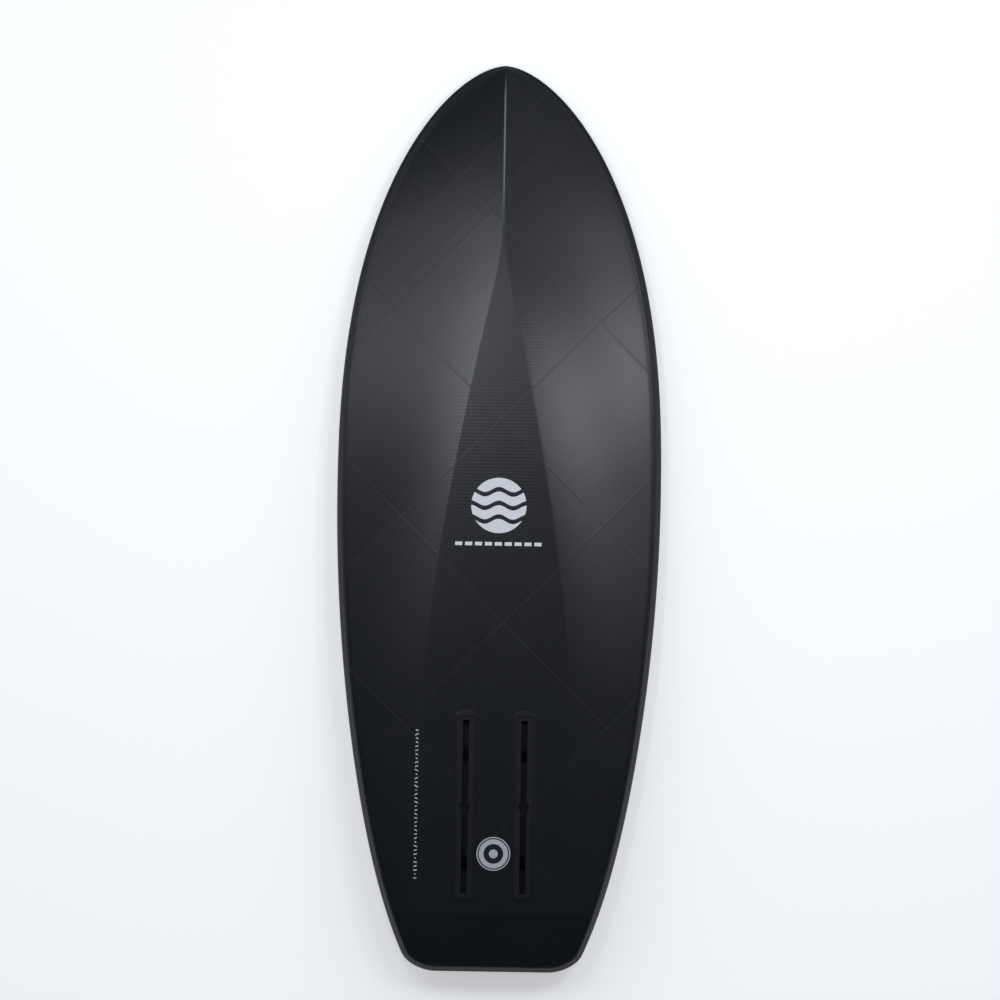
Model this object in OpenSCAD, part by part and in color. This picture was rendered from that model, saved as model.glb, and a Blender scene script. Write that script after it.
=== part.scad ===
// Hydrofoil kiteboard, lying on its deck with the underside up.
// +Y points to the nose, +X to the right as the underside is looked at, +Z out of the underside.
// The origin is on the floor under the deck pads, on the centreline, halfway along the board.

/* [Board] */
// Length from nose to tail
board_length = 1397; // [1380:1:1410]
// Width at the widest point
board_width = 499; // [490:1:506]
// Thickness from the deck to the flat centre panel of the underside
board_thickness = 82; // [78:1:86]
// How far ahead of the middle the board is widest
wide_ahead = 44; // [38:1:50]
// Drop of the underside from the centre panel to the nose tip
nose_drop = 62; // [56:1:64]
// Drop of the tail kick behind the centre panel
tail_kick = 12; // [6:1:16]
// Half width of the centre panel where the foil tracks are
panel_half_width = 112; // [104:1:116]
// Mean slope of the outer panels at the nose, in degrees
nose_vee = 8.5; // [7:0.5:10]
// Mean slope of the outer panels at the tail, in degrees
tail_vee = 5; // [4:0.5:6]

/* [Laminate] */
// Thickness of the bottom skin and of the deck skin
skin = 1.2; // [0.8:0.1:1.6]
// Thickness of the wrap that closes the rail
wrap = 0.6; // [0.4:0.1:0.8]
// Thickness of the dense foam under the deck skin
deck_foam = 3; // [2:0.5:4]
// Glue line between two bonded pieces
glue = 0.2; // [0.1:0.05:0.3]

/* [Foil tracks] */
// Distance between the two track centres
track_spacing = 90; // [88:1:92]
// Middle of the tracks, behind the middle of the board
track_behind = 443; // [435:1:450]
// Length of each slot
slot_length = 266; // [260:1:270]
// Width of each slot
slot_width = 9.6; // [9.4:0.1:9.8]
// Spacing of the two T-nuts along a track at rest
nut_spacing = 165; // [160:1:170]
// Radius of the tapped hole in a T-nut
nut_hole_r = 3.4; // [3.3:0.05:3.5]

/* [Deck fittings] */
// Thickness of the deck pads
pad = 5; // [4:0.5:6]
// Screw spacing of a foot strap, along the board
strap_spacing = 155; // [150:1:160]
// Sideways distance between the two front straps
strap_sides = 120; // [110:1:130]
// Radius of the tapped hole in a strap bush
bush_hole_r = 2.5; // [2.4:0.05:2.6]

/* [Hidden] */
$fn = 64;

// Heights
deck_z = pad;
panel_z = pad + board_thickness;
panel_inner_z = panel_z - skin;
deck_inner_z = deck_z + skin;

// Outline of the board
nose_y = board_length / 2;
tail_y = -board_length / 2;
corner_long = 40;
corner_deep = 28;
corner_y = tail_y + corner_deep;
nose_steps = 20;
side_steps = 15;
kick_steps = 2;
corner_steps = 6;
before_corner = nose_steps + side_steps + kick_steps;
last = before_corner + corner_steps;

// The centre panel ends at this line. The outline's station for it lies a little further aft,
// because the rail brings the underside's edge forward.
panel_end_y = -608;
kick_station_y = panel_end_y - 4;

// Half width of the outline at y: a blunt power curve to the nose, a flatter one to the tail.
function half_width(y) =
    y > wide_ahead
    ? board_width / 2 * pow(1 - pow((y - wide_ahead) / (nose_y - wide_ahead), 2.4), 0.60)
    : let (v = (wide_ahead - y) / (wide_ahead - tail_y))
      board_width / 2 * (1 - 0.405 * pow(v, 2) - 0.09 * pow(v, 8));

// The right-hand outline from the nose tip round the tail corner, with an ellipse at the corner.
rim = concat(
    [for (i = [0 : nose_steps])
        let (y = wide_ahead + (nose_y - wide_ahead) * cos(90 * i / nose_steps))
        [i == 0 ? 0 : half_width(y), y]],
    [for (i = [1 : side_steps])
        let (y = wide_ahead + (kick_station_y - wide_ahead) * i / side_steps)
        [half_width(y), y]],
    [for (i = [1 : kick_steps])
        let (y = kick_station_y + (corner_y - kick_station_y) * i / kick_steps)
        [half_width(y), y]],
    [for (i = [1 : corner_steps])
        let (b = 90 * i / corner_steps, y = corner_y - corner_deep * sin(b))
        [half_width(y) - corner_long * (1 - cos(b)), y]]
);

// Outward direction at station i. Near the tip it turns forward, so inner loops stay pointed too.
tip_zone = 45;
function smooth(t) = let (s = min(max(t, 0), 1)) s * s * (3 - 2 * s);
function outward(i) =
    let (
        before = i == 0 ? [-rim[1].x, rim[1].y] : rim[i - 1],
        after = i == last ? [0, rim[last].y] : rim[i + 1],
        along = after - before,
        n = [-along.y, along.x] / norm(along),
        c = smooth(rim[i].x / tip_zone)
    )
    i > nose_steps ? n : [n.x * c, n.y + (1 - n.y) * (1 - c)];

// Underside: a flat centre panel between two ridges, falling away to the nose and to the kick.
ridge_front_y = 414;
ridge_full_y = -260;
nose_start_y = 50;
keel_half_width = 1.2;
function ridge(y) =
    y > ridge_full_y
    ? panel_half_width * (1 - pow(min(1, (y - ridge_full_y) / (ridge_front_y - ridge_full_y)), 1.42))
    : panel_half_width + 4 * (ridge_full_y - y) / (ridge_full_y - panel_end_y);
function centre_z(y) =
    panel_z
    - nose_drop * pow(max(0, (y - nose_start_y) / (nose_y - nose_start_y)), 2.2)
    - tail_kick * max(0, (panel_end_y - y) / (panel_end_y - tail_y));
function vee(y) = tail_vee + (nose_vee - tail_vee) * smooth((y + 500) / 650);

// Outer panels are a little convex: about half of the fall is straight, the rest grows with the
// square. Their slope at the edge follows from it, and the rail sets off along that slope.
straight_share = 0.55;
function panel_fall(q) = straight_share * q + (1 - straight_share) * q * q;
function edge_slope(y) = (2 - straight_share) * tan(vee(y));
function ridge_x(y, edge) = min(max(ridge(y), keel_half_width), 0.8 * edge);
function under_z(x, y, edge) =
    let (r = ridge_x(y, edge), q = max(0, (abs(x) - r) / (edge - r)))
    centre_z(y) - tan(vee(y)) * (edge - r) * panel_fall(q);

// Rail: from the underside's edge round to the widest line, then round to the deck's edge.
rail_under = 12;
rail_deck = 34;
rail_height = 59;
widest_share = 0.55;
function under_inset(i) = rail_under * (i > nose_steps ? 1 : 0.6 + 0.4 * smooth(rim[i].x / tip_zone));
function under_edge(i) = rim[i] - under_inset(i) * outward(i);
function edge_z(i) = let (e = under_edge(i)) under_z(e.x, e.y, e.x + 0.001);
function deck_inset(i) = rail_deck * min(1.1, pow((edge_z(i) - deck_z) / rail_height, 0.8));

// Loops round the board, as [side of the rail, angle on its quarter]; 0 is the underside's quarter.
LOOPS = [[0, 0], [0, 30], [0, 60], [0, 88], [1, 2], [1, 25], [1, 47], [1, 69], [1, 90]];
under_loops = 4;
last_loop = len(LOOPS) - 1;

// Columns across the underside: the centreline, both ridges and steps out to both edges.
panel_steps = 4;
columns = 2 * panel_steps + 3;
tail_points = columns - 2;
loop_size = 1 + 2 * last + tail_points;
function column_x(c, edge, y) =
    let (k = c - panel_steps - 1, r = ridge_x(y, edge))
    abs(k) <= 1 ? k * r : sign(k) * (r + (edge - r) * (abs(k) - 1) / panel_steps);

// A point of loop j at a depth below the skins' outer face; place is its plan point, i its station.
function loop_point(place, out, i, j, depth) =
    let (
        quarter = LOOPS[j][0], a = LOOPS[j][1], side = depth + wrap,
        low = deck_z + depth, high = edge_z(i) - depth,
        middle = deck_z + widest_share * (edge_z(i) - deck_z),
        inset = quarter == 0
            ? side + (under_inset(i) - side) * (1 - sin(a))
            : side + (deck_inset(i) - side) * (1 - cos(a)),
        bow = edge_slope(rim[i].y) * under_inset(i) * sin(a) * cos(a),
        z = quarter == 0
            ? middle + (high - middle) * cos(a) - bow
            : middle - (middle - low) * sin(a),
        p = place - inset * out
    )
    [p.x, p.y, z];
function mirrored(p) = [-p.x, p.y, p.z];
function tail_point(k, j, depth) =
    let (
        x = column_x(columns - 1 - k, under_edge(last).x, under_edge(last).y),
        p = loop_point([x, rim[last].y], [0, -1], last, j, depth),
        fall = under_z(x, under_edge(last).y, under_edge(last).x) - edge_z(last)
    )
    [p.x, p.y, p.z + (LOOPS[j][0] == 0 ? fall * cos(LOOPS[j][1]) : 0)];
function one_loop(j, depth) = concat(
    [for (i = [0 : last]) loop_point(rim[i], outward(i), i, j, depth)],
    [for (k = [1 : tail_points]) tail_point(k, j, depth)],
    [for (i = [last : -1 : 1]) mirrored(loop_point(rim[i], outward(i), i, j, depth))]
);

// All points of the board's surface at one depth: every loop, then the inner points of the underside.
function layer_points(depth) = concat(
    [for (j = [0 : last_loop]) each one_loop(j, depth)],
    [for (i = [1 : last - 1], c = [1 : columns - 2])
        let (e = under_edge(i), x = column_x(c, e.x, e.y))
        [x, e.y, under_z(x, e.y, e.x) - depth]]
);
inner_start = len(LOOPS) * loop_size;
layer_size = inner_start + (last - 1) * (columns - 2);

// Number of the grid point of the underside in row i, column c.
function grid(i, c) =
    i == 0 ? 0
    : c == 0 ? loop_size - i
    : c == columns - 1 ? i
    : i == last ? last + columns - 1 - c
    : inner_start + (i - 1) * (columns - 2) + c - 1;
under_faces = [for (i = [0 : last - 1], c = [0 : columns - 2])
    each i == 0
        ? [[0, grid(1, c + 1), grid(1, c)]]
        : [[grid(i, c), grid(i, c + 1), grid(i + 1, c)],
           [grid(i, c + 1), grid(i + 1, c + 1), grid(i + 1, c)]]];
function rail_faces(first, end) = [for (j = [first : end - 1], m = [0 : loop_size - 1])
    let (a = j * loop_size, b = a + loop_size, n = (m + 1) % loop_size)
    each [[a + m, b + m, a + n], [a + n, b + m, b + n]]];
deck_start = last_loop * loop_size;
function deck_right(i) = deck_start + i;
function deck_left(i) = deck_start + (i == 0 ? 0 : loop_size - i);
deck_faces = concat(
    [[deck_left(1), deck_right(1), deck_right(0)]],
    [for (i = [1 : last - 2])
        each [[deck_left(i), deck_right(i + 1), deck_right(i)],
              [deck_left(i), deck_left(i + 1), deck_right(i + 1)]]],
    [for (m = [last - 1 : last + tail_points])
        [deck_left(last - 1), deck_start + m + 1, deck_start + m]]
);
function turned(faces, shift) = [for (f = faces) [f[2] + shift, f[1] + shift, f[0] + shift]];

// The strip that closes a sheet along loop j, its first loop or its last, between its two layers.
function edge_faces(j, is_first) = [for (m = [0 : loop_size - 1])
    let (a = j * loop_size + m, b = j * loop_size + (m + 1) % loop_size, s = layer_size)
    each is_first
        ? [[a, b, a + s], [b, b + s, a + s]]
        : [[b, a, a + s], [b, a + s, b + s]]];

// A sheet between two depths made of some faces, closed at the loops given.
module sheet(outer, inner, faces, closing) {
    polyhedron(
        points = concat(layer_points(outer), layer_points(inner)),
        faces = concat(faces, turned(faces, layer_size), closing)
    );
}

// Positions along the board and across it
track_y = -track_behind;
track_x = track_spacing / 2;
front_strap_y = 90;
rear_strap_y = -430;
leash_y = -620;

// Track section: a flange, a lip over the nut channel, and a groove for the bolt's end below it
flange = [26, 276, 3];
body_width = 22;
body_length = 272;
body_depth = 25;
lip = 6;
channel_width = 15.8;
channel_depth = 6;
groove_width = 9;
groove_end = 20;
entry_r = 8.5;

// T-nut: a disc with two flats and a round boss that stands in the slot
nut_r = 8.2;
nut_width = 15.4;
nut_top = 6.3;
nut_bottom = 11.7;
boss_r = 4.6;
boss_top = 0.6;

// Blocks, plugs and bushes
block_width = 46;
block_length = 300;
plug_r = 15;
plug_height = 32;
bush_r = 6.35;
bush_height = 21;
bush_depth = 16;

// Leash cup and its pin
cup_r = 17;
cup_height = 25;
cup_inside_r = 13.5;
cup_depth = 20;
leash_pin_r = 2;
leash_pin_length = 31;
leash_pin_rise = 5.5;
pin_play = 0.02;

// Deck pads: lengths, widths and the gap between left and right
pad_gap = 6;
front_pad = [150, 400];
front_pad_y = 90;
rear_pad = [112, 450];
rear_pad_y = -365;
pad_corner_r = 24;
pad_hole_r = 10;

// A plate with exact round corners, centred, standing on z = 0.
module rounded_plate(size, r, height) {
    linear_extrude(height) {
        square([size.x - 2 * r, size.y], center = true);
        square([size.x, size.y - 2 * r], center = true);
        for (sx = [-1, 1], sy = [-1, 1])
            translate([sx * (size.x / 2 - r), sy * (size.y / 2 - r)]) circle(r);
    }
}

module at_front_straps() {
    for (sx = [-1, 1], sy = [-1, 1])
        translate([sx * strap_sides / 2, front_strap_y + sy * strap_spacing / 2, 0]) children();
}

module at_rear_straps() {
    for (sy = [-1, 1]) translate([0, rear_strap_y + sy * strap_spacing / 2, 0]) children();
}

module at_track(side) translate([side * track_x, track_y, panel_z]) children();

// Straight-sided plan of the standing area, narrower at the tail.
module deck_foam_plan(grow) {
    polygon([
        [-118 - grow, -590 - grow], [118 + grow, -590 - grow], [160 + grow, -350],
        [165 + grow, 250], [130 + grow, 330 + grow], [-130 - grow, 330 + grow],
        [-165 - grow, 250], [-160 - grow, -350]
    ]);
}

deck_foam_bottom = deck_inner_z + glue;
block_bottom = deck_foam_bottom + deck_foam + glue;
block_height = panel_inner_z - glue - block_bottom;

// Closed-cell foam, shaped in one piece, with pockets for everything that is let into it.
module core_blank() {
    depth = skin + glue;
    color("whitesmoke") difference() {
        polyhedron(
            points = layer_points(depth),
            faces = concat(under_faces, rail_faces(0, last_loop), deck_faces)
        );
        translate([0, 0, deck_inner_z - 1])
            linear_extrude(deck_foam + 2 * glue + 1) deck_foam_plan(glue);
        for (side = [-1, 1]) translate([side * track_x, track_y, deck_inner_z])
            rounded_plate([block_width + 2 * glue, block_length + 2 * glue], 6, board_thickness);
        at_front_straps() cylinder(r = plug_r + glue, h = deck_inner_z + plug_height + 2 * glue);
        at_rear_straps() cylinder(r = plug_r + glue, h = deck_inner_z + plug_height + 2 * glue);
        translate([0, leash_y, 0]) cylinder(r = cup_r + glue, h = deck_z + cup_height + glue);
    }
}

// Dense foam under the deck skin, so that heels don't dent the deck.
module deck_reinforcement() {
    color("khaki") difference() {
        translate([0, 0, deck_foam_bottom]) linear_extrude(deck_foam) deck_foam_plan(0);
        at_front_straps() cylinder(r = plug_r + glue, h = panel_z);
        at_rear_straps() cylinder(r = plug_r + glue, h = panel_z);
    }
}

// Carbon laminate of the underside, down to the widest line of the rail.
module bottom_skin() {
    color("#232428") difference() {
        sheet(0, skin, concat(under_faces, rail_faces(0, under_loops - 1)),
            edge_faces(under_loops - 1, false));
        for (side = [-1, 1]) at_track(side) translate([0, 0, -2 * skin])
            rounded_plate([flange.x + 2 * glue, flange.y + 2 * glue], 3, 4 * skin);
    }
}

// Carbon laminate of the deck, up to the widest line of the rail.
module deck_skin() {
    color("#2b2c30") difference() {
        sheet(0, skin, concat(rail_faces(under_loops, last_loop), deck_faces),
            edge_faces(under_loops, true));
        at_front_straps() cylinder(r = bush_r + glue, h = deck_z + 2 * skin);
        at_rear_straps() cylinder(r = bush_r + glue, h = deck_z + 2 * skin);
        translate([0, leash_y, 0]) cylinder(r = cup_r + glue, h = deck_z + 2 * skin);
    }
}

// Laminate lap over the joint of the two skins, all the way round.
module rail_wrap() {
    color("#1c1d20") sheet(-wrap, -0.05, rail_faces(0, last_loop),
        concat(edge_faces(0, true), edge_faces(last_loop, false)));
}

// Dense foam block that carries a track and reaches down to the deck.
module track_block(side) {
    color("goldenrod") difference() {
        translate([side * track_x, track_y, block_bottom])
            rounded_plate([block_width, block_length], 6, block_height);
        at_track(side) {
            translate([0, 0, -flange.z - glue])
                rounded_plate([flange.x + 2 * glue, flange.y + 2 * glue], 3, 2 * flange.z);
            translate([0, 0, -body_depth - glue])
                rounded_plate([body_width + 2 * glue, body_length + 2 * glue], 2, body_depth + glue);
        }
    }
}

// Extra carbon round the mouth of a track.
module track_patch(side) {
    color("#1a1b1e") at_track(side) translate([0, 0, 0.02]) difference() {
        rounded_plate([36, 296], 12, 0.4);
        translate([0, 0, -1]) rounded_plate([flange.x + 2 * glue, flange.y + 2 * glue], 3, 2);
    }
}

// Moulded track: the flange is flush with the skin, the slot opens upwards.
module foil_track(side) {
    color("#0c0c0d") at_track(side) difference() {
        union() {
            translate([0, 0, -flange.z]) rounded_plate([flange.x, flange.y], 3, flange.z);
            translate([0, 0, -body_depth])
                rounded_plate([body_width, body_length], 2, body_depth - flange.z + 1);
        }
        translate([-slot_width / 2, -slot_length / 2, -lip - 1]) cube([slot_width, slot_length, lip + 2]);
        translate([-channel_width / 2, -slot_length / 2, -lip - channel_depth])
            cube([channel_width, slot_length, channel_depth]);
        translate([-groove_width / 2, -slot_length / 2, -groove_end])
            cube([groove_width, slot_length, groove_end - lip]);
        translate([0, 0, -lip - 1]) cylinder(r = entry_r, h = lip + 2);
    }
}

// T-nut, tapped right through; the flats keep it from turning in the channel.
module t_nut(side, end) {
    color("#3a3733") at_track(side) translate([0, end * nut_spacing / 2, 0]) difference() {
        union() {
            intersection() {
                translate([0, 0, -nut_bottom]) cylinder(r = nut_r, h = nut_bottom - nut_top);
                translate([-nut_width / 2, -nut_r - 1, -nut_bottom - 1])
                    cube([nut_width, 2 * nut_r + 2, nut_bottom]);
            }
            translate([0, 0, -nut_bottom]) cylinder(r = boss_r, h = nut_bottom - boss_top);
        }
        translate([0, 0, -nut_bottom - 1]) cylinder(r = nut_hole_r, h = nut_bottom + 1);
    }
}

// Dense foam plug that holds one strap bush.
module strap_plug() {
    color("goldenrod") translate([0, 0, deck_inner_z + glue]) difference() {
        cylinder(r = plug_r, h = plug_height);
        translate([0, 0, -1]) cylinder(r = bush_r + glue, h = bush_height + 1);
    }
}

// Tapped bush, flush with the deck, with a blind hole.
module strap_bush() {
    color("darkgoldenrod") translate([0, 0, deck_z]) difference() {
        cylinder(r = bush_r, h = bush_height);
        translate([0, 0, -1]) cylinder(r = bush_hole_r, h = bush_depth + 1);
    }
}

// Cup let into the deck near the tail, with two blind holes for the pin.
module leash_cup() {
    color("#111113") translate([0, leash_y, deck_z]) difference() {
        cylinder(r = cup_r, h = cup_height);
        translate([0, 0, -1]) cylinder(r = cup_inside_r, h = cup_depth + 1);
        translate([-leash_pin_length / 2 - 0.1, 0, leash_pin_rise]) rotate([0, 90, 0])
            cylinder(r = leash_pin_r + pin_play, h = leash_pin_length + 0.2);
    }
}

module leash_pin() {
    color("silver") translate([-leash_pin_length / 2, leash_y, deck_z + leash_pin_rise])
        rotate([0, 90, 0]) cylinder(r = leash_pin_r, h = leash_pin_length);
}

// EVA pad with round openings over the strap bushes.
module deck_pad(side, size, y) {
    color("#3c3e42") difference() {
        translate([side * (size.x + pad_gap) / 2, y, 0]) rounded_plate(size, pad_corner_r, pad - 0.02);
        at_front_straps() translate([0, 0, -1]) cylinder(r = pad_hole_r, h = pad + 2);
        at_rear_straps() translate([0, 0, -1]) cylinder(r = pad_hole_r, h = pad + 2);
    }
}

// Plain emblem: a disc crossed by three waves, over a row of dashes.
emblem_y = 20;
emblem_r = 42.5;
wave_gap = 7;
wave_rise = 4;
wave_pitch = 21;
wave_steps = 32;
dash = [11, 5.5];
dash_count = 9;
dash_pitch = 15.2;
dash_y = -59;
decal = 0.12;
function wave_edge(k, side) = [for (i = [0 : wave_steps])
    let (s = 2 * i / wave_steps - 1)
    [(emblem_r + 1) * s, k * wave_pitch + wave_rise * cos(360 * s) + side * wave_gap / 2]];
function backwards(v) = [for (i = [len(v) - 1 : -1 : 0]) v[i]];
module emblem_decal() {
    color("whitesmoke") translate([0, emblem_y, panel_z + 0.02]) linear_extrude(decal) {
        difference() {
            circle(emblem_r);
            for (k = [-1 : 1]) polygon(concat(wave_edge(k, 1), backwards(wave_edge(k, -1))));
        }
        for (k = [0 : dash_count - 1])
            translate([(k - (dash_count - 1) / 2) * dash_pitch, dash_y]) square(dash, center = true);
    }
}

// Round sticker between the tracks.
badge_y = -515;
badge_r = 26;
module badge_sticker() {
    color("silver") translate([0, badge_y, panel_z + 0.02]) cylinder(r = badge_r, h = decal);
}

core_blank();
deck_reinforcement();
bottom_skin();
deck_skin();
rail_wrap();
track_block(-1);  // track_block_left
track_block(1);  // track_block_right
track_patch(-1);  // track_patch_left
track_patch(1);  // track_patch_right
foil_track(-1);  // foil_track_left
foil_track(1);  // foil_track_right
t_nut(-1, 1);  // t_nut_front_left
t_nut(1, 1);  // t_nut_front_right
t_nut(-1, -1);  // t_nut_rear_left
t_nut(1, -1);  // t_nut_rear_right
at_front_straps() strap_plug();  // strap_plugs_front
at_rear_straps() strap_plug();  // strap_plugs_rear
at_front_straps() strap_bush();  // strap_bushes_front
at_rear_straps() strap_bush();  // strap_bushes_rear
leash_cup();
leash_pin();
deck_pad(-1, front_pad, front_pad_y);  // deck_pad_front_left
deck_pad(1, front_pad, front_pad_y);  // deck_pad_front_right
deck_pad(-1, rear_pad, rear_pad_y);  // deck_pad_rear_left
deck_pad(1, rear_pad, rear_pad_y);  // deck_pad_rear_right
emblem_decal();
badge_sticker();
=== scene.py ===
"""A hydrofoil kiteboard lying on its deck, underside up, on a pale studio floor."""
import math

import bpy
import numpy as np
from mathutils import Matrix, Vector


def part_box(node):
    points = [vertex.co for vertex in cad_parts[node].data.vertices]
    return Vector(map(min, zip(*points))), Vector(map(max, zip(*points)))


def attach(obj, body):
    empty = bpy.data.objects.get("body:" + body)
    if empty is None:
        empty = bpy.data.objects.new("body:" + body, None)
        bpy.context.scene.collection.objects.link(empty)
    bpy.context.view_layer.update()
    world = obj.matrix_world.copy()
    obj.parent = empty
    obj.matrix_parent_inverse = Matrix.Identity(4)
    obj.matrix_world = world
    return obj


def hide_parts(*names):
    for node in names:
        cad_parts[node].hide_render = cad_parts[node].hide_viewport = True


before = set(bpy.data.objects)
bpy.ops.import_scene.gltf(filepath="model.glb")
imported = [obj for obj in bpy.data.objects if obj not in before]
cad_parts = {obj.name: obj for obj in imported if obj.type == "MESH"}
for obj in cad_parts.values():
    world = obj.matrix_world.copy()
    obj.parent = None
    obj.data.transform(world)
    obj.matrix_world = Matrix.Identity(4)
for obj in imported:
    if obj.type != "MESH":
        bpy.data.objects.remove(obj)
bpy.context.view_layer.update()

# ---------------------------------------------------------------------------------------------
# Studio: a camera straight above the board, looking down at its underside, over a plain pale
# floor. Soft boxes hang level on both sides ahead of the board's middle, where the tilted panels
# catch them and the flat panel doesn't, under a dim sky that glows low down ahead of the nose.

mm = 0.001
view_centre = (1.5 * mm, 28.4 * mm)
view_field = 1.541
view_height = 40 * mm
view_roll = math.radians(0.92)
lens, film = 300.0, 36.0

camera_data = bpy.data.cameras.new("camera")
camera_data.lens, camera_data.sensor_width = lens, film
camera = bpy.data.objects.new("camera", camera_data)
camera.location = (*view_centre, view_height + view_field * lens / film)
camera.rotation_euler = (0, 0, view_roll)
bpy.context.scene.collection.objects.link(camera)
bpy.context.scene.camera = camera
bpy.context.scene.view_settings.view_transform = "Standard"


def linear(colour):
    """Turns an sRGB hex colour into the linear RGBA that shaders take."""
    s = np.array([int(colour[k:k + 2], 16) / 255 for k in (1, 3, 5)])
    low, high = s / 12.92, ((s + 0.055) / 1.055) ** 2.4
    return (*np.where(s <= 0.04045, low, high), 1.0)


def add(tree, kind, inputs=None, **settings):
    """Adds a node: settings are its properties. An input takes a value, the socket that feeds it,
    or a node whose first output feeds it."""
    made = tree.nodes.new(kind)
    for name, value in settings.items():
        setattr(made, name, value)
    for name, value in (inputs or {}).items():
        if isinstance(value, bpy.types.Node):
            value = value.outputs[0]
        if isinstance(value, bpy.types.NodeSocket):
            tree.links.new(value, made.inputs[name])
        else:
            made.inputs[name].default_value = value
    return made


def soft_box(name, x, y, size, power):
    """A rectangular soft box that hangs level over the board, its sides along X and Y."""
    data = bpy.data.lights.new(name, "AREA")
    data.shape, data.size, data.size_y, data.energy = "RECTANGLE", *size, power
    data.color = cool_white
    lamp = bpy.data.objects.new(name, data)
    lamp.location = (x, y, box_height)
    bpy.context.scene.collection.objects.link(lamp)


box_height, cool_white = 2.2, (0.95, 0.98, 1.04)
soft_box("left_strip", -0.35, 0.50, (0.10, 0.81), 4.23)
soft_box("left_wide", -0.98, 0.77, (1.92, 0.76), 8.44)
soft_box("right_inner", 0.65, 0.41, (0.37, 0.43), 4.64)
soft_box("right_outer", 1.16, 0.70, (0.17, 0.60), 5.75)
soft_box("right_front", 0.92, 1.29, (1.55, 1.25), 2.42)

world = bpy.data.worlds.new("studio")
world.use_nodes = True
bpy.context.scene.world = world
sky = world.node_tree
sky.nodes.clear()

# The glow rises just above the horizon, falls well before the zenith, and fades behind the tail.
# Each pair is where it starts and ends, as the sine of the height or of the angle ahead.
glow_rise, glow_fall, glow_ahead, glow_behind = (0.05, 0.30), (0.55, 0.78), (-0.45, 0.40), 0.08
dim_sky, bright_sky = (0.058, 0.069, 0.090, 1), (0.88, 0.94, 1.0, 1)
direction = add(sky, "ShaderNodeTexCoord").outputs["Generated"]
axes = add(sky, "ShaderNodeSeparateXYZ", {0: direction})
ahead, height = axes.outputs["Y"], axes.outputs["Z"]
rise = add(sky, "ShaderNodeMapRange", {0: height, 1: glow_rise[0], 2: glow_rise[1]},
           interpolation_type="SMOOTHSTEP")
fall = add(sky, "ShaderNodeMapRange", {0: height, 1: glow_fall[0], 2: glow_fall[1], 3: 1.0, 4: 0.0},
           interpolation_type="SMOOTHSTEP")
front = add(sky, "ShaderNodeMapRange",
            {0: ahead, 1: glow_ahead[0], 2: glow_ahead[1], 3: glow_behind, 4: 1.0},
            interpolation_type="SMOOTHSTEP")
glow = add(sky, "ShaderNodeMath", {0: rise, 1: fall}, operation="MULTIPLY")
glow = add(sky, "ShaderNodeMath", {0: glow, 1: front}, operation="MULTIPLY")
tint = add(sky, "ShaderNodeMix", {0: glow, 6: dim_sky, 7: bright_sky}, data_type="RGBA")
background = add(sky, "ShaderNodeBackground", {"Color": tint.outputs[2], "Strength": 1.0})
add(sky, "ShaderNodeOutputWorld", {"Surface": background})


def new_mesh(name, points, faces, crease=35):
    """A mesh object in the scene, from points in metres and a list of arrays of faces. Edges that
    turn more than the crease angle, in degrees, stay sharp."""
    data = bpy.data.meshes.new(name)
    data.from_pydata(np.asarray(points, float), [], [f for block in faces for f in block.tolist()])
    data.shade_smooth()
    data.set_sharp_from_angle(angle=math.radians(crease))
    made = bpy.data.objects.new(name, data)
    bpy.context.scene.collection.objects.link(made)
    return made


def new_material(name):
    """An empty node material and its tree."""
    made = bpy.data.materials.new(name)
    made.use_nodes = True
    made.node_tree.nodes.clear()
    return made, made.node_tree


def store(piece, name, values):
    """Stores a number for each point of a piece, for its material to read."""
    piece.data.attributes.new(name, "FLOAT", "POINT").data.foreach_set("value", values)


def dress(piece, material):
    """Gives a piece one material, in its first slot."""
    piece.data.materials.clear()
    piece.data.materials.append(material)


# The paper is a wide round floor just under the pads that turns up into a low wall: a flat disc,
# then a quarter circle, swept round a full turn.
floor_reach, wall_radius, floor_gap, floor_sides = 20.0, 2.0, 0.4 * mm, 96
wall_turn = np.linspace(0, 1, 9) * math.pi / 2
sweep_r = np.concatenate([[4, 10], floor_reach + wall_radius * np.sin(wall_turn)])
sweep_z = np.concatenate([[0, 0], wall_radius * (1 - np.cos(wall_turn))]) - floor_gap
sweep_turn = np.arange(floor_sides) * 2 * math.pi / floor_sides
sweep = np.stack([sweep_r[:, None] * np.cos(sweep_turn), sweep_r[:, None] * np.sin(sweep_turn),
                  np.repeat(sweep_z[:, None], floor_sides, 1)], 2).reshape(-1, 3)
around_floor = 1 + np.arange(len(sweep)).reshape(-1, floor_sides)
beside = np.roll(around_floor, -1, 1)
hub = np.stack([np.zeros(floor_sides, int), around_floor[0], beside[0]], 1)
bands = np.stack([around_floor[:-1], around_floor[1:], beside[1:], beside[:-1]], 2).reshape(-1, 4)
floor = new_mesh("floor", np.concatenate([[[0, 0, -floor_gap]], sweep]), [hub, bands])

# Paper is white and quite dull; a little light of its own keeps its shadows soft and pale.
paper, tree = new_material("white_paper_sweep")
shader = add(tree, "ShaderNodeBsdfPrincipled",
             {"Base Color": linear("#f4f4f4"), "Roughness": 0.9, "Specular IOR Level": 0.1,
              "Emission Color": (1, 1, 1, 1), "Emission Strength": 0.45})
add(tree, "ShaderNodeOutputMaterial", {"Surface": shader})
dress(floor, paper)

# ---------------------------------------------------------------------------------------------
# Underside skin: carbon spread-tow cloth in epoxy, bagged over the foam and left matt. A keel at
# the nose splits into two ridges round a flat panel, which ends at the kick ahead of the tail.
# The outline, ridges and heights are the CAD skin's, drawn finely; all lengths here are in mm.

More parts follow.
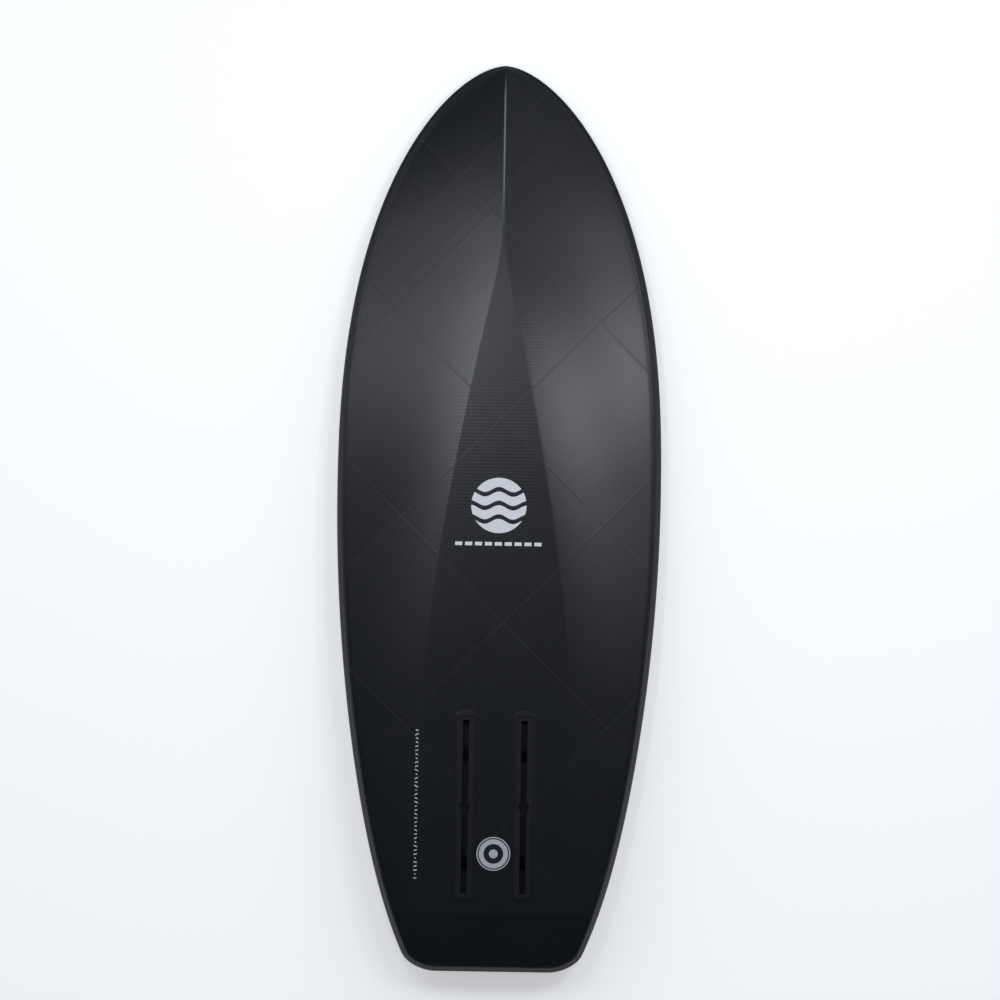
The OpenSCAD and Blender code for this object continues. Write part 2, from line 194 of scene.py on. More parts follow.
low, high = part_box("bottom_skin")
wrap_low, wrap_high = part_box("rail_wrap")
wrap = 0.6
nose_y, tail_y = wrap_high.y / mm, wrap_low.y / mm
half_beam = wrap_high.x / mm
panel_z = high.z / mm
deck_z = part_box("deck_skin")[0].z / mm
wide_y, corner_long, corner_deep, tip_zone = 44.0, 40.0, 28.0, 45.0
ridge_front_y, ridge_full_y, panel_half, panel_end_y = 414.0, -260.0, 112.0, -608.0
nose_start_y, nose_drop, tail_kick = 50.0, 62.0, 12.0
keel_half, keel_run_out, ridge_flare = 1.2, 4.0, 4.0
nose_vee, tail_vee, vee_start_y, vee_run, straight_share = 8.5, 5.0, -500.0, 650.0, 0.55
rail_under, rail_deck, rail_height, widest_share = 12.0, 34.0, 59.0, 0.55


def smooth_step(t):
    """3t^2 - 2t^3 between 0 and 1."""
    s = np.clip(t, 0, 1)
    return s * s * (3 - 2 * s)


def half_width(y):
    """Half the board's width: B(1 - u^2.4)^0.60 ahead of the widest line, where u runs to 1 at
    the nose, and B(1 - 0.405v^2 - 0.09v^8) behind it, where v runs to 1 at the tail."""
    u = np.clip((y - wide_y) / (nose_y - wide_y), 0, 1)
    v = np.clip((wide_y - y) / (wide_y - tail_y), 0, 1)
    return half_beam * np.where(y > wide_y, (1 - u ** 2.4) ** 0.60,
                                1 - 0.405 * v ** 2 - 0.09 * v ** 8)


def outline(t):
    """Right-hand outline: t from 0 at the nose tip to 1 at the widest line, to 2 where the tail
    corner starts, and to 3 at its end, round an ellipse."""
    corner_y = tail_y + corner_deep
    bend = np.clip(t - 2, 0, 1) * math.pi / 2
    y = np.where(t < 1, wide_y + (nose_y - wide_y) * np.cos(np.clip(t, 0, 1) * math.pi / 2),
                 wide_y + (corner_y - wide_y) * np.clip(t - 1, 0, 1))
    y = np.where(t > 2, corner_y - corner_deep * np.sin(bend), y)
    x = half_width(y) - corner_long * (1 - np.cos(bend))
    return np.stack([x, y], 1)


def ridge(y):
    """Half width of the flat panel: P(1 - t^1.42), run out softly into the keel's half width as
    the logarithm of 1 + e^w, and behind the panel's widest line a slow straight flare."""
    t = np.clip((y - ridge_full_y) / (ridge_front_y - ridge_full_y), 0, None)
    flare = ridge_flare * (ridge_full_y - y) / (ridge_full_y - panel_end_y)
    width = (panel_half * (1 - t ** 1.42) - keel_half) / keel_run_out
    soft = keel_half + keel_run_out * np.logaddexp(0, width)
    return np.where(y > ridge_full_y, soft, panel_half + flare)


def ridge_x(y, edge):
    """The ridge's place in a row whose panels end at edge, never past four fifths of it."""
    return np.minimum(ridge(y), 0.8 * edge)


def centre_z(y):
    """Height of the centreline: flat, falling as a power of 2.2 to the nose, straight at the kick."""
    rise = np.maximum(0, (y - nose_start_y) / (nose_y - nose_start_y))
    return panel_z - nose_drop * rise ** 2.2 - tail_kick * np.maximum(
        0, (panel_end_y - y) / (panel_end_y - tail_y))


def mean_slope(y):
    """Mean slope of the outer panels, from the tail's angle to the nose's along a smooth step."""
    vee = tail_vee + (nose_vee - tail_vee) * smooth_step((y - vee_start_y) / vee_run)
    return np.tan(np.radians(vee))


def under_z(x, y, edge):
    """Height of the underside: the centreline's, less a fall at the outer panel's mean slope that
    goes as sq + (1 - s)q^2, where q runs from 0 at the ridge to 1 at the edge and s is the
    straight share."""
    r = ridge_x(y, edge)
    q = np.maximum(0, (np.abs(x) - r) / (edge - r + 1e-9))
    fall = straight_share * q + (1 - straight_share) * q * q
    return centre_z(y) - mean_slope(y) * (edge - r) * fall


# The outline is drawn densely once, with its outward directions and the underside's edge inside
# it; rows of the fine grid are then picked from it by the y where they meet that edge.
dense_t = np.linspace(0, 3, 9001)
dense = outline(dense_t)
along = np.gradient(dense, axis=0)
out = np.stack([-along[:, 1], along[:, 0]], 1)
out /= np.linalg.norm(out, axis=1, keepdims=True)
blunt = np.where(dense_t < 1, smooth_step(dense[:, 0] / tip_zone), 1.0)
out = np.stack([out[:, 0] * blunt, out[:, 1] + (1 - out[:, 1]) * (1 - blunt)], 1)
out[0], out[-1] = (0, 1), (0, -1)
under_inset = rail_under * (0.6 + 0.4 * blunt)
edge = dense - under_inset[:, None] * out
edge_height = under_z(edge[:, 0], edge[:, 1], edge[:, 0])
deck_inset = rail_deck * np.minimum(1.1, ((edge_height - deck_z) / rail_height) ** 0.8)

track_x, track_y = 45.0, -443.0
mouth_half = (13.2, 138.2)
corner_t, nose_rows, body_rows, corner_rows, kick_pair = 2.1, 96, 118, 26, 1.5
row_y = np.concatenate([
    np.interp(np.linspace(0, 1, nose_rows)[1:] ** 1.2, dense_t, edge[:, 1]),
    np.linspace(wide_y, tail_y + corner_deep, body_rows)[1:],
    [track_y + mouth_half[1], track_y - mouth_half[1]],
    [panel_end_y + kick_pair, panel_end_y - kick_pair]])
row_t = np.interp(-np.unique(row_y)[::-1], -edge[:, 1], dense_t)
row_t = np.concatenate([row_t[row_t < corner_t], np.linspace(corner_t, 3, corner_rows)])


def at_rows(values):
    """The dense outline's values, one column or several, at the rows picked from it."""
    return np.stack([np.interp(row_t, dense_t, v) for v in values.reshape(len(dense_t), -1).T], 1)


# Columns: fixed lines on the panel, two of them along each side of a track, squeezed with it
# where it narrows, a tight pair at the ridge, and even steps from the ridge out to the edge.
panel_lines = np.array([0, 8, 16, 24, track_x - mouth_half[0], 38, 45, 52,
                        track_x + mouth_half[0], 68, 78, 88, 98, 106, 110])
outer_steps = np.concatenate([[0, 0.02], np.linspace(0.05, 1, 24)])
row_edge = at_rows(edge)
ridges = ridge_x(row_edge[:, 1:], row_edge[:, :1])
right_x = np.concatenate([panel_lines * np.minimum(1, ridges / panel_half),
                          ridges + (row_edge[:, :1] - ridges) * outer_steps], 1)
grid_x = np.concatenate([-right_x[:, :0:-1], right_x], 1)
rows, wide = grid_x.shape
grid_y = np.repeat(row_edge[:, 1:], wide, 1)
grid_z = under_z(grid_x, grid_y, row_edge[:, :1])
tip = [[0, edge[0, 1], edge_height[0]]]
panel_points = np.concatenate([tip, np.stack([grid_x, grid_y, grid_z], 2).reshape(-1, 3)])
cell = 1 + np.arange(rows)[:, None] * wide + np.arange(wide)
tip_faces = np.stack([np.zeros(wide - 1, int), cell[0, :-1], cell[0, 1:]], 1)
quads = np.stack([cell[:-1, :-1], cell[1:, :-1], cell[1:, 1:], cell[:-1, 1:]], 2).reshape(-1, 4)

# The mouths of the two tracks are left open.
middle = panel_points[quads].mean(1)
in_mouth = ((np.abs(np.abs(middle[:, 0]) - track_x) < mouth_half[0])
            & (np.abs(middle[:, 1] - track_y) < mouth_half[1]))
quads = quads[~in_mouth]


def around(tip_value, side, tail, mirror=1):
    """Values all the way round the board: tip, right side, tail edge, then the left side."""
    return np.concatenate([np.reshape(tip_value, (1,) + side.shape[1:]), side, tail,
                           (side * mirror)[::-1]])


flip = np.array([-1, 1])
tail_x = grid_x[-1, -2:0:-1]
tail_size = len(tail_x)
ring_rim = around(dense[0], at_rows(dense),
                  np.stack([tail_x, np.full(tail_size, dense[-1, 1])], 1), flip)
ring_out = around(out[0], at_rows(out), np.tile([0, -1], (tail_size, 1)), flip)
ring_under = around(under_inset[0], at_rows(under_inset)[:, 0], np.full(tail_size, rail_under))
ring_deck = around(deck_inset[0], at_rows(deck_inset)[:, 0], np.full(tail_size, deck_inset[-1]))
ring_edge = around(edge_height[0], at_rows(edge_height)[:, 0], grid_z[-1, -2:0:-1])
ring_widest = around(edge_height[0], at_rows(edge_height)[:, 0], np.full(tail_size, edge_height[-1]))
ring_widest = deck_z + widest_share * (ring_widest - deck_z)
ring_bow = (2 - straight_share) * mean_slope(ring_rim[:, 1]) * ring_under
ring_size = len(ring_rim)


def rail_loop(quarter, angle, depth):
    """A loop round the rail, depth inside the skins. Under the widest line the inset from the
    outline goes as 1 - sin a and the height as cos a, bowed down by a part that goes as
    sin a cos a, so that the rail sets off along the panel's slope. On the deck's side the inset
    goes as 1 - cos a and the drop as sin a."""
    grow, a = depth + wrap, math.radians(angle)
    if quarter == "under":
        inset = grow + (ring_under - grow) * (1 - math.sin(a))
        z = ring_widest + (ring_edge - depth - ring_widest) * math.cos(a)
        z = z - ring_bow * math.sin(a) * math.cos(a)
    else:
        inset = grow + (ring_deck - grow) * (1 - math.cos(a))
        z = ring_widest - (ring_widest - deck_z - depth) * math.sin(a)
    return np.column_stack([ring_rim - inset[:, None] * ring_out, z])


def ring_quads(numbers):
    """Quads between neighbouring loops, from an array of point numbers with a row for each."""
    n = np.roll(numbers, -1, 1)
    return np.stack([numbers[:-1], n[:-1], n[1:], numbers[1:]], 2).reshape(-1, 4)


def closed_sheet(name, face, back, faces, crease=35):
    """A sheet with thickness: its face, its back turned over, and a wall along every open edge.
    An open edge is one whose reverse no other face has."""
    size = len(face)
    edges = np.concatenate([np.stack([f, np.roll(f, -1, 1)], 2).reshape(-1, 2) for f in faces])
    is_open = ~np.isin(edges[:, 0] * size + edges[:, 1], edges[:, 1] * size + edges[:, 0])
    start, end = edges[is_open].T
    walls = np.stack([end, start, start + size, end + size], 1)
    turned = [f[:, ::-1] + size for f in faces]
    return new_mesh(name, np.concatenate([face, back]) * mm, [*faces, *turned, walls], crease)


skin = 1.2
edge_ring = np.concatenate([[0], cell[:, -1], cell[-1, -2:0:-1], cell[::-1, 0]])
turn_angles = np.linspace(0, 88, 11)[1:]
turn_rings = len(panel_points) + np.arange(len(turn_angles) * ring_size).reshape(-1, ring_size)


def underside_points(depth):
    """Every point of the underside at a depth below its outer face."""
    sunk = panel_points - [0, 0, depth]
    return np.concatenate([sunk, *[rail_loop("under", angle, depth) for angle in turn_angles]])


underside = closed_sheet("underside_skin", underside_points(0), underside_points(skin),
                         [quads, tip_faces, ring_quads(np.concatenate([[edge_ring], turn_rings]))])

# The keel's top edge is painted pale between two lines, fading at each, as a painted highlight; the
# ridges get only a little of it.
ridge_painted_highlight, ridge_highlight_y, ridge_highlight_fade = 0.07, -50.0, 200.0
keel_highlight_y, keel_highlight_fade = (430.0, 690.0), (120.0, 50.0)
from_middle = np.abs(np.arange(wide) - wide // 2)
crest_highlight = ridge_painted_highlight * smooth_step((grid_y - ridge_highlight_y) / ridge_highlight_fade)
crest_highlight = np.where(from_middle == len(panel_lines), crest_highlight, 0.0)
keel = (ridges < 2.0) & (from_middle < len(panel_lines))
keel_highlight = (smooth_step((grid_y - keel_highlight_y[0]) / keel_highlight_fade[0])
          * smooth_step((keel_highlight_y[1] - grid_y) / keel_highlight_fade[1]))
crest_highlight = np.where(keel, keel_highlight, crest_highlight)
crest_highlight = np.concatenate([[0], crest_highlight.ravel(), np.zeros(turn_rings.size)])
store(underside, "crest_highlight", np.tile(crest_highlight, 2))


# The cloth's tapes lie at 45 degrees both ways. Each pair gives where the joint between two tapes
# crosses the centreline, in mm, and which way it runs: +1 rises to the right, -1 falls.
joints = ((594, 1), (512, 1), (489, 1), (150, 1), (-170, 1), (-490, 1),
          (455, -1), (155, -1), (-150, -1), (-460, -1))
joint_wide, joint_core, joint_step = 3.5, 0.4, 0.5
streak_wide, streak_long, resin_patch, peel = 2.0, 160.0, 143.0, 1.667
rib_pitch, rib_edge, rib_fade = 5.2, 105.0, 30.0
rib_rows = (-100.0, 60.0, 240.0, 340.0)


def carbon(name, colour, roughness, ribs=0.0):
    """Matt carbon laminate. Wide tapes of carbon cross at 45 degrees under the resin. Their fibres
    show as fine streaks, each tape shines a little more or less than the next, and the joints
    print through as faint raised lines. Ribs are a finely stitched layer across the flat panel.
    Where the stored highlight value is 1 the colour is painted pale, a painted highlight along the
    keel, and where sanded is 1 it is cut dull.
    The streaks, ribs and peel of the resin are coarser than the real ones, so that they show."""
    made, tree = new_material(name)
    place = add(tree, "ShaderNodeTexCoord").outputs["Object"]
    axes = add(tree, "ShaderNodeSeparateXYZ", {0: place})
    x, y = axes.outputs["X"], axes.outputs["Y"]

    # Joints, and the steps in shine between one tape and the next.
    rising = add(tree, "ShaderNodeMath", {0: y, 1: x}, operation="SUBTRACT")
    falling = add(tree, "ShaderNodeMath", {0: y, 1: x}, operation="ADD")
    lines, tapes = 0.0, 0.0
    for crossing, way in joints:
        over = add(tree, "ShaderNodeMath", {0: rising if way > 0 else falling, 1: crossing * mm},
                   operation="SUBTRACT")
        aside = add(tree, "ShaderNodeMath", {0: over}, operation="ABSOLUTE")
        line = add(tree, "ShaderNodeMapRange", {0: aside, 1: joint_wide * mm, 2: joint_core * mm},
                   interpolation_type="SMOOTHSTEP")
        lines = add(tree, "ShaderNodeMath", {0: lines, 1: line}, operation="MAXIMUM")
        step = add(tree, "ShaderNodeMapRange",
                   {0: over, 1: -joint_step * mm, 2: joint_step * mm, 3: 0.0,
                    4: 1.0 if crossing % 2 else -1.0}, interpolation_type="SMOOTHSTEP")
        tapes = add(tree, "ShaderNodeMath", {0: tapes, 1: step}, operation="ADD")

    # Fibres: noise drawn out along them, both ways.
    weave = 0.0
    for turn in (45, -45):
        turned = add(tree, "ShaderNodeMapping",
                     {"Vector": place, "Rotation": (0, 0, math.radians(turn))})
        drawn = add(tree, "ShaderNodeMapping",
                    {"Vector": turned, "Scale": (1 / (streak_long * mm), 1 / (streak_wide * mm),
                                                 1 / (streak_long * mm))})
        fibres = add(tree, "ShaderNodeTexNoise", {"Vector": drawn, "Scale": 1.0, "Detail": 2.0})
        weave = add(tree, "ShaderNodeMath", {0: weave, 1: fibres}, operation="ADD")

    # Shine: even but for the resin's patches, the tapes, the fibres, the joints and the sanding.
    resin = add(tree, "ShaderNodeTexNoise",
                {"Vector": place, "Scale": 1 / (resin_patch * mm), "Detail": 3.0})
    sanded = add(tree, "ShaderNodeAttribute", attribute_name="sanded").outputs["Fac"]
    rough = add(tree, "ShaderNodeMath", {0: tapes, 1: 0.006, 2: roughness - 0.03},
                operation="MULTIPLY_ADD")
    for part, share in ((resin, 0.03), (weave, 0.03), (lines, 0.05), (sanded, 0.25)):
        rough = add(tree, "ShaderNodeMath", {0: part, 1: share, 2: rough},
                    operation="MULTIPLY_ADD")
    shine = add(tree, "ShaderNodeMapRange", {0: sanded, 3: 0.5, 4: 0.12})

    # Colour: near black, a little lighter along some fibres, and painted pale along the keel as a
    # painted highlight.
    half_weave = add(tree, "ShaderNodeMath", {0: weave, 1: 0.5}, operation="MULTIPLY")
    tone = add(tree, "ShaderNodeMix", {0: half_weave, 6: linear(colour[0]), 7: linear(colour[1])},
               data_type="RGBA").outputs[2]
    crest_highlight = add(tree, "ShaderNodeAttribute", attribute_name="crest_highlight").outputs["Fac"]
    tone = add(tree, "ShaderNodeMix", {0: crest_highlight, 6: tone, 7: linear("#757b81")},
               data_type="RGBA").outputs[2]

    # Relief: the resin's peel, the fibres, the joints, and the ribs where the panel has them.
    grain = add(tree, "ShaderNodeTexNoise",
                {"Vector": place, "Scale": 1 / (peel * mm), "Detail": 2.0})
    height = 0.0
    for part, share in ((grain, 0.05), (weave, 0.012), (lines, 0.35)):
        height = add(tree, "ShaderNodeMath", {0: part, 1: share, 2: height},
                     operation="MULTIPLY_ADD")
    if ribs:
        phase = add(tree, "ShaderNodeMath", {0: y, 1: 2 * math.pi / (rib_pitch * mm)},
                    operation="MULTIPLY")
        wave = add(tree, "ShaderNodeMath", {0: phase}, operation="SINE")
        aside = add(tree, "ShaderNodeMath", {0: x}, operation="ABSOLUTE")
        for value, start, end in ((aside, rib_edge, rib_fade), (y, rib_rows[0], rib_rows[1]),
                                  (y, rib_rows[3], rib_rows[2])):
            fade = add(tree, "ShaderNodeMapRange", {0: value, 1: start * mm, 2: end * mm},
                       interpolation_type="SMOOTHSTEP")
            wave = add(tree, "ShaderNodeMath", {0: wave, 1: fade}, operation="MULTIPLY")
        height = add(tree, "ShaderNodeMath", {0: wave, 1: ribs, 2: height},
                     operation="MULTIPLY_ADD")
    bump = add(tree, "ShaderNodeBump", {"Height": height, "Strength": 0.25, "Distance": 0.4 * mm})
    shader = add(tree, "ShaderNodeBsdfPrincipled",
                 {"Base Color": tone, "Roughness": rough, "Normal": bump,
                  "Specular IOR Level": shine})
    add(tree, "ShaderNodeOutputMaterial", {"Surface": shader})
    return made


dress(underside, carbon("matt_spread_tow_carbon", ("#0b0e12", "#101317"), 0.285, ribs=0.2))
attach(underside, "board")
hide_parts("bottom_skin")

# ---------------------------------------------------------------------------------------------
# Rail wrap: a strip of carbon laid over the joint of the two skins, from the underside's edge
# round the rail to the deck's edge. Both its edges are sanded down to a feather.

wrap_gap, feather = 0.06, 40.0
wrap_loops = ([("under", angle) for angle in np.linspace(0, 90, 12)]
              + [("deck", angle) for angle in np.linspace(0, 90, 12)[1:]])
wrap_rings = np.arange(len(wrap_loops) * ring_size).reshape(-1, ring_size)


def wrap_points(thickness):
    """Every point of the wrap's face or back. Its thickness grows from a feather edge as the
    smooth step of the angle from that edge."""
    loops = []
    for quarter, angle in wrap_loops:
        from_edge = angle if quarter == "under" else 90 - angle
        grown = wrap_gap + (thickness - wrap_gap) * smooth_step(from_edge / feather)
        loops.append(rail_loop(quarter, angle, -grown))
    return np.concatenate(loops)


rail = closed_sheet("rail_wrap_laminate", wrap_points(wrap), wrap_points(wrap_gap / 2),
                    [ring_quads(wrap_rings)])

# The rail's outer face is cut dull with sandpaper, from this many degrees round it on.
sanded_from, sanded_fade = 15.0, 30.0
round_rail = np.array([a if quarter == "under" else 90 + a for quarter, a in wrap_loops])
sanded = smooth_step((round_rail - sanded_from) / sanded_fade)
store(rail, "sanded", np.tile(np.repeat(sanded, ring_size), 2))
dress(rail, carbon("satin_carbon_rail", ("#0b0d11", "#0e1115"), 0.285))
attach(rail, "board")
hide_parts("rail_wrap")

# ---------------------------------------------------------------------------------------------
# Track patches: a ring of extra carbon cloth round the mouth of each track. The cloth is thin, so
# its outer edge is a low ramp of resin and its inner edge is trimmed square against the flange.

patch_half, patch_corner, flange_half = (18.0, 148.0), 12.0, (13.05, 138.05)
mouth_corner = 3.0
patch_profile = np.array([[0, 0.02], [0, 0.36], [0.06, 0.42], [0.15, 0.42], [0.95, 0.05], [1, 0.02]])


def rounded_rectangle(half, corner, steps=12):
    """Points round a rectangle with quarter circles at its corners, anticlockwise."""
    angle = (np.arange(4)[:, None] + np.linspace(0, 1, steps)) * math.pi / 2
    centre = np.array([[1, 1], [-1, 1], [-1, -1], [1, -1]]) * (np.array(half) - corner)
    circle = np.stack([np.cos(angle), np.sin(angle)], 2) * corner
    return (centre[:, None] + circle).reshape(-1, 2)


def ring_piece(name, inner, outer, profile, centre, base_z):
    """A profile carried round between two paths: its first number is the share of the way from
    the inner path to the outer, its second the height."""
    share, rise = profile[:, 0], profile[:, 1]
    plan = inner[None] + (outer - inner)[None] * share[:, None, None] + centre
    points = np.concatenate([plan, np.broadcast_to((base_z + rise)[:, None, None],
                                                   plan.shape[:2] + (1,))], 2)
    numbers = np.arange(len(profile) * len(inner)).reshape(len(profile), -1)
    numbers = np.concatenate([numbers, numbers[:1]])
    return new_mesh(name, points.reshape(-1, 3) * mm, [ring_quads(numbers)[:, ::-1]], crease=30)


patch_carbon = carbon("carbon_patch", ("#0b0d11", "#0e1115"), 0.28)
for side, hand in ((-1, "left"), (1, "right")):
    patch = ring_piece(f"track_patch_{hand}_cloth", rounded_rectangle(flange_half, mouth_corner),
                       rounded_rectangle(patch_half, patch_corner), patch_profile,
                       np.array([side * track_x, track_y]), panel_z)
    dress(patch, patch_carbon)
    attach(patch, "board")
    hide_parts(f"track_patch_{hand}")


def grained(name, colour, roughness, grain, depth, metallic=0.0, speck=None, speck_size=1.0,
            shine=0.5):
    """A moulded, sprayed or cut surface: a fine grain of a size and depth in mm, in one even colour
    or specked with a second colour."""
    made, tree = new_material(name)
    place = add(tree, "ShaderNodeTexCoord").outputs["Object"]
    noise = add(tree, "ShaderNodeTexNoise", {"Vector": place, "Scale": 1 / (grain * mm),
                                             "Detail": 3.0})
    patches = add(tree, "ShaderNodeTexNoise", {"Vector": place, "Detail": 4.0,
                                               "Scale": 1 / (speck_size * 12 * mm)})
    share = add(tree, "ShaderNodeMapRange", {0: patches, 1: 0.35, 2: 0.65})
    tone = add(tree, "ShaderNodeMix", {0: share, 6: linear(colour), 7: linear(speck or colour)},
               data_type="RGBA").outputs[2]
    rough = add(tree, "ShaderNodeMapRange", {0: noise, 1: 0.3, 2: 0.7, 3: roughness - 0.05,
                                             4: roughness + 0.05})
    bump = add(tree, "ShaderNodeBump", {"Height": noise, "Strength": 0.4, "Distance": depth * mm})
    shader = add(tree, "ShaderNodeBsdfPrincipled",
                 {"Base Color": tone, "Roughness": rough, "Normal": bump,
                  "Metallic": metallic, "Specular IOR Level": shine})
    add(tree, "ShaderNodeOutputMaterial", {"Surface": shader})
    return made


# ---------------------------------------------------------------------------------------------
# Foil tracks and T-nuts: the tracks are moulded in glass-filled nylon and bonded into the foam,
# and the nuts are turned from stainless steel and blackened. Their shapes are the CAD's.

# Black glass-filled nylon has a dull, slightly grainy skin with little shine of its own.
nylon = grained("glass_filled_nylon", "#070a0d", 0.5, 0.8, 0.03, speck="#0a0d11", shine=0.34)
for hand in ("left", "right"):
    dress(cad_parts[f"foil_track_{hand}"], nylon)
# Blackened steel is a near-black metal whose soft sheen only shows where it catches a light.
black_steel = grained("blackened_steel", "#141518", 0.5, 0.5, 0.01, metallic=1.0, speck="#191a1d")
for end in ("front", "rear"):
    for hand in ("left", "right"):
        dress(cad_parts[f"t_nut_{end}_{hand}"], black_steel)

# ---------------------------------------------------------------------------------------------
# Markings: a cut vinyl emblem, a round printed sticker, and a row of strokes in white paint pen
# beside the left track. The strokes lie on the skin and follow its slope.

# Vinyl film is an even, clean white with a very faint waviness in its shine.
dress(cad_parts["emblem_decal"], grained("white_vinyl", "#f4f6f9", 0.5, 2.0, 0.01))

badge_low, badge_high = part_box("badge_sticker")
badge_centre, badge_r = (badge_low + badge_high) / 2, (badge_high.x - badge_low.x) / 2

# Silver foil shines softly where it's bare, and its printed rings are a dark slate.
foil, tree = new_material("printed_silver_foil")
place = add(tree, "ShaderNodeTexCoord").outputs["Object"]
offset = add(tree, "ShaderNodeVectorMath", {0: place, 1: (badge_centre.x, badge_centre.y, 0)},
             operation="SUBTRACT")
flat = add(tree, "ShaderNodeVectorMath", {0: offset, 1: (1, 1, 0)}, operation="MULTIPLY")
radius = add(tree, "ShaderNodeVectorMath", {0: flat}, operation="LENGTH").outputs["Value"]
share = add(tree, "ShaderNodeMath", {0: radius, 1: 1 / badge_r}, operation="MULTIPLY")
rings = add(tree, "ShaderNodeValToRGB", {0: share})
ramp = rings.color_ramp
ramp.interpolation = "CONSTANT"
silver, ink = linear("#eef1f3"), linear("#2b3337")
ramp.elements[0].color = silver
ramp.elements[1].position, ramp.elements[1].color = 0.26, ink
for stop, colour in ((0.58, silver), (0.86, ink), (0.93, silver)):
    ramp.elements.new(stop).color = colour
shader = add(tree, "ShaderNodeBsdfPrincipled",
             {"Base Color": rings, "Roughness": 0.35, "Metallic": 0.6})
add(tree, "ShaderNodeOutputMaterial", {"Surface": shader})
dress(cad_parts["badge_sticker"], foil)

stroke_x, stroke_start, stroke_end, stroke_count = -120.0, -327.0, -554.0, 38

# A hand's unevenness: lengths and slants wander with two sine waves that never quite repeat.
stroke = np.arange(stroke_count)
stroke_y = stroke_start + (stroke_end - stroke_start) * stroke / (stroke_count - 1)
stroke_long = 4.2 + 2.2 * np.sin(stroke * 2.4) * np.sin(stroke * 0.9 + 1)
stroke_tilt = 0.5 * np.sin(stroke * 1.7)
stroke_wide, paint_high, paint_gap = 1.7, 0.12, 0.03
ends = np.array([-0.5, 0.5])
stroke_x_at = stroke_x + ends[None, :, None] * stroke_long[:, None, None] + np.zeros((1, 1, 2))
stroke_y_at = (stroke_y[:, None, None] + stroke_wide * ends[None, None, :]
               + (stroke_tilt * stroke_long)[:, None, None] * ends[None, :, None])
stroke_edge = np.interp(-stroke_y_at, -edge[:, 1], edge[:, 0])
stroke_z = under_z(stroke_x_at, stroke_y_at, stroke_edge) + paint_gap
stroke_points = np.stack([stroke_x_at, stroke_y_at, stroke_z], 3).reshape(-1, 3)
corner = np.arange(stroke_count)[:, None] * 4
strokes = closed_sheet("paint_pen_strokes", stroke_points + [0, 0, paint_high], stroke_points,
                       [np.concatenate([corner, corner + 2, corner + 3, corner + 1], 1)])
# Paint pen is a matt white that thins to grey where the pen ran dry.
dress(strokes, grained("white_paint_pen", "#e9ecef", 0.6, 1.0, 0.02, speck="#c4c8cc"))
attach(strokes, "board")

# ---------------------------------------------------------------------------------------------
# Deck pads: 5 mm EVA foam sheet, cut with a rounded border and milled with crossing grooves, and
# stuck to the deck. Openings are cut where the foot straps screw in.

pad_bevel, groove_pitch, groove_wide, groove_deep = 3.5, 14.0, 2.2, 1.2
pad_corner, opening_r, pad_step, border_rise = 24.0, 10.0, 1.6, 1.6
strap_x, front_y, rear_y, strap_half = 60.0, 90.0, -430.0, 77.5
openings = np.array([[x, front_y + way * strap_half] for x in (-strap_x, strap_x)
                     for way in (-1, 1)] + [[0, rear_y + way * strap_half] for way in (-1, 1)])
# EVA foam is a soft dark grey with no shine, and its cut cells give it a fine speckle.
eva = grained("milled_eva_foam", "#2b2d30", 0.85, 1.2, 0.25, speck="#34363a", speck_size=0.4)


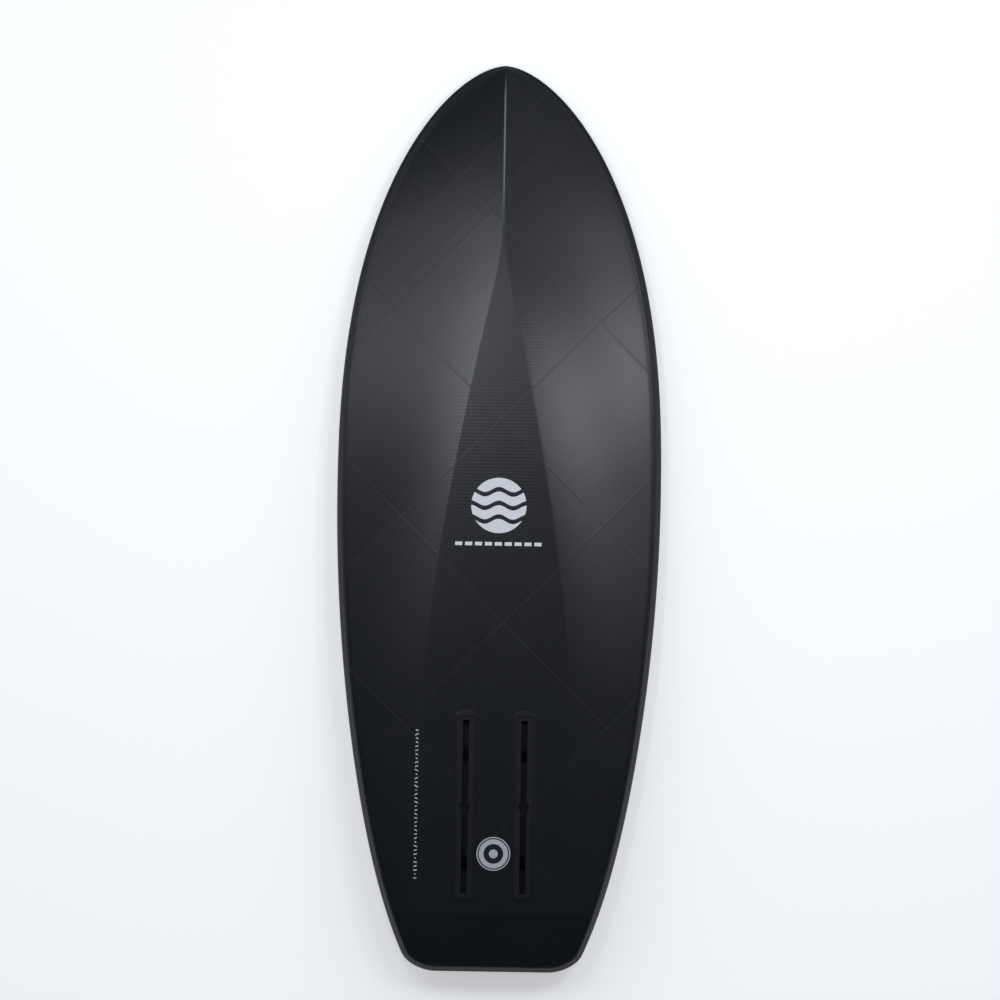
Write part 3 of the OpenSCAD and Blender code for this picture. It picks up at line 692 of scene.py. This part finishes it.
def deck_pad(name):
    """A pad in its CAD box. Rows cross it at even steps; each is as long as the rounded rectangle
    is wide there. The lower face rises at the border as a square and at the grooves as a cosine.
    Points near an opening move out to its circle, and the faces inside it go."""
    low, high = (np.array(end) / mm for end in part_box(name))
    centre, half = (low + high)[:2] / 2, (high - low)[:2] / 2
    y = np.linspace(-half[1], half[1], int(2 * half[1] / pad_step))[:, None]
    past = np.maximum(0, np.abs(y) - (half[1] - pad_corner))
    reach = half[0] - pad_corner + np.sqrt(np.maximum(0, pad_corner ** 2 - past ** 2))
    x = reach * np.linspace(-1, 1, int(2 * half[0] / pad_step))
    y = y + np.zeros_like(x)
    plan = np.stack([x, y], 2).reshape(-1, 2) + centre
    for hole in openings:
        away = plan - hole
        distance = np.linalg.norm(away, axis=1, keepdims=True) + 1e-9
        near = np.abs(distance - opening_r) < 0.7 * pad_step
        plan = np.where(near, hole + away / distance * opening_r, plan)
    local = np.abs(plan - centre)
    in_corner = np.maximum(0, local - (half - pad_corner))
    border = np.where((in_corner > 0).all(1), pad_corner - np.linalg.norm(in_corner, axis=1),
                      (half - local).min(1))
    z = low[2] + border_rise * np.maximum(0, 1 - border / pad_bevel) ** 2
    for sign in (-1, 1):
        across = (plan[:, 0] + sign * 0.6 * plan[:, 1]) / groove_pitch
        from_line = np.abs(across - np.round(across)) * groove_pitch
        groove = 0.5 + 0.5 * np.cos(np.clip(from_line / groove_wide, 0, 1) * math.pi)
        z = np.maximum(z, low[2] + groove_deep * groove * (border > pad_bevel * 2))
    size = x.shape
    n = np.arange(size[0] * size[1]).reshape(size)
    faces = np.stack([n[:-1, :-1], n[1:, :-1], n[1:, 1:], n[:-1, 1:]], 2).reshape(-1, 4)
    gaps = np.linalg.norm(plan[faces].mean(1)[:, None] - openings[None], axis=2).min(1)
    faces = faces[gaps > opening_r]
    pad = closed_sheet(f"{name}_eva", np.column_stack([plan, z]),
                       np.column_stack([plan, np.full(len(plan), high[2])]), [faces])
    dress(pad, eva)
    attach(pad, "board")
    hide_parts(name)


for end in ("front", "rear"):
    for hand in ("left", "right"):
        deck_pad(f"deck_pad_{end}_{hand}")

# ---------------------------------------------------------------------------------------------
# Deck skin, fittings and the foam inside: the deck is the same matt carbon, the strap bushes are
# turned brass, the leash cup is moulded nylon with a stainless pin, and the core is white
# closed-cell foam with blocks and plugs of dense tan foam.

dress(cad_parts["deck_skin"], carbon("matt_carbon_deck", ("#0b0e12", "#101317"), 0.30))
dress(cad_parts["leash_cup"], nylon)
# Drawn stainless is a bright neutral grey metal with fairly sharp highlights.
dress(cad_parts["leash_pin"], grained("stainless_pin", "#a8a9ab", 0.3, 0.4, 0.01, metallic=1.0))
# Turned brass is a yellow metal with a soft sheen, a little browner where it has tarnished.
brass = grained("turned_brass", "#b8934f", 0.32, 0.5, 0.01, metallic=1.0, speck="#a98546")
# Both foams are dull and show their cells: small and white in the core, finer and tan elsewhere.
white_foam = grained("closed_cell_foam", "#e6e4dc", 0.85, 0.9, 0.3, speck="#dad7cc")
tan_foam = grained("dense_foam", "#c2a566", 0.8, 0.6, 0.2, speck="#b3965a")
for name, material in (("core_blank", white_foam), ("deck_reinforcement", tan_foam),
                       ("track_block_left", tan_foam), ("track_block_right", tan_foam),
                       ("strap_plugs_front", tan_foam), ("strap_plugs_rear", tan_foam),
                       ("strap_bushes_front", brass), ("strap_bushes_rear", brass)):
    dress(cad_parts[name], material)
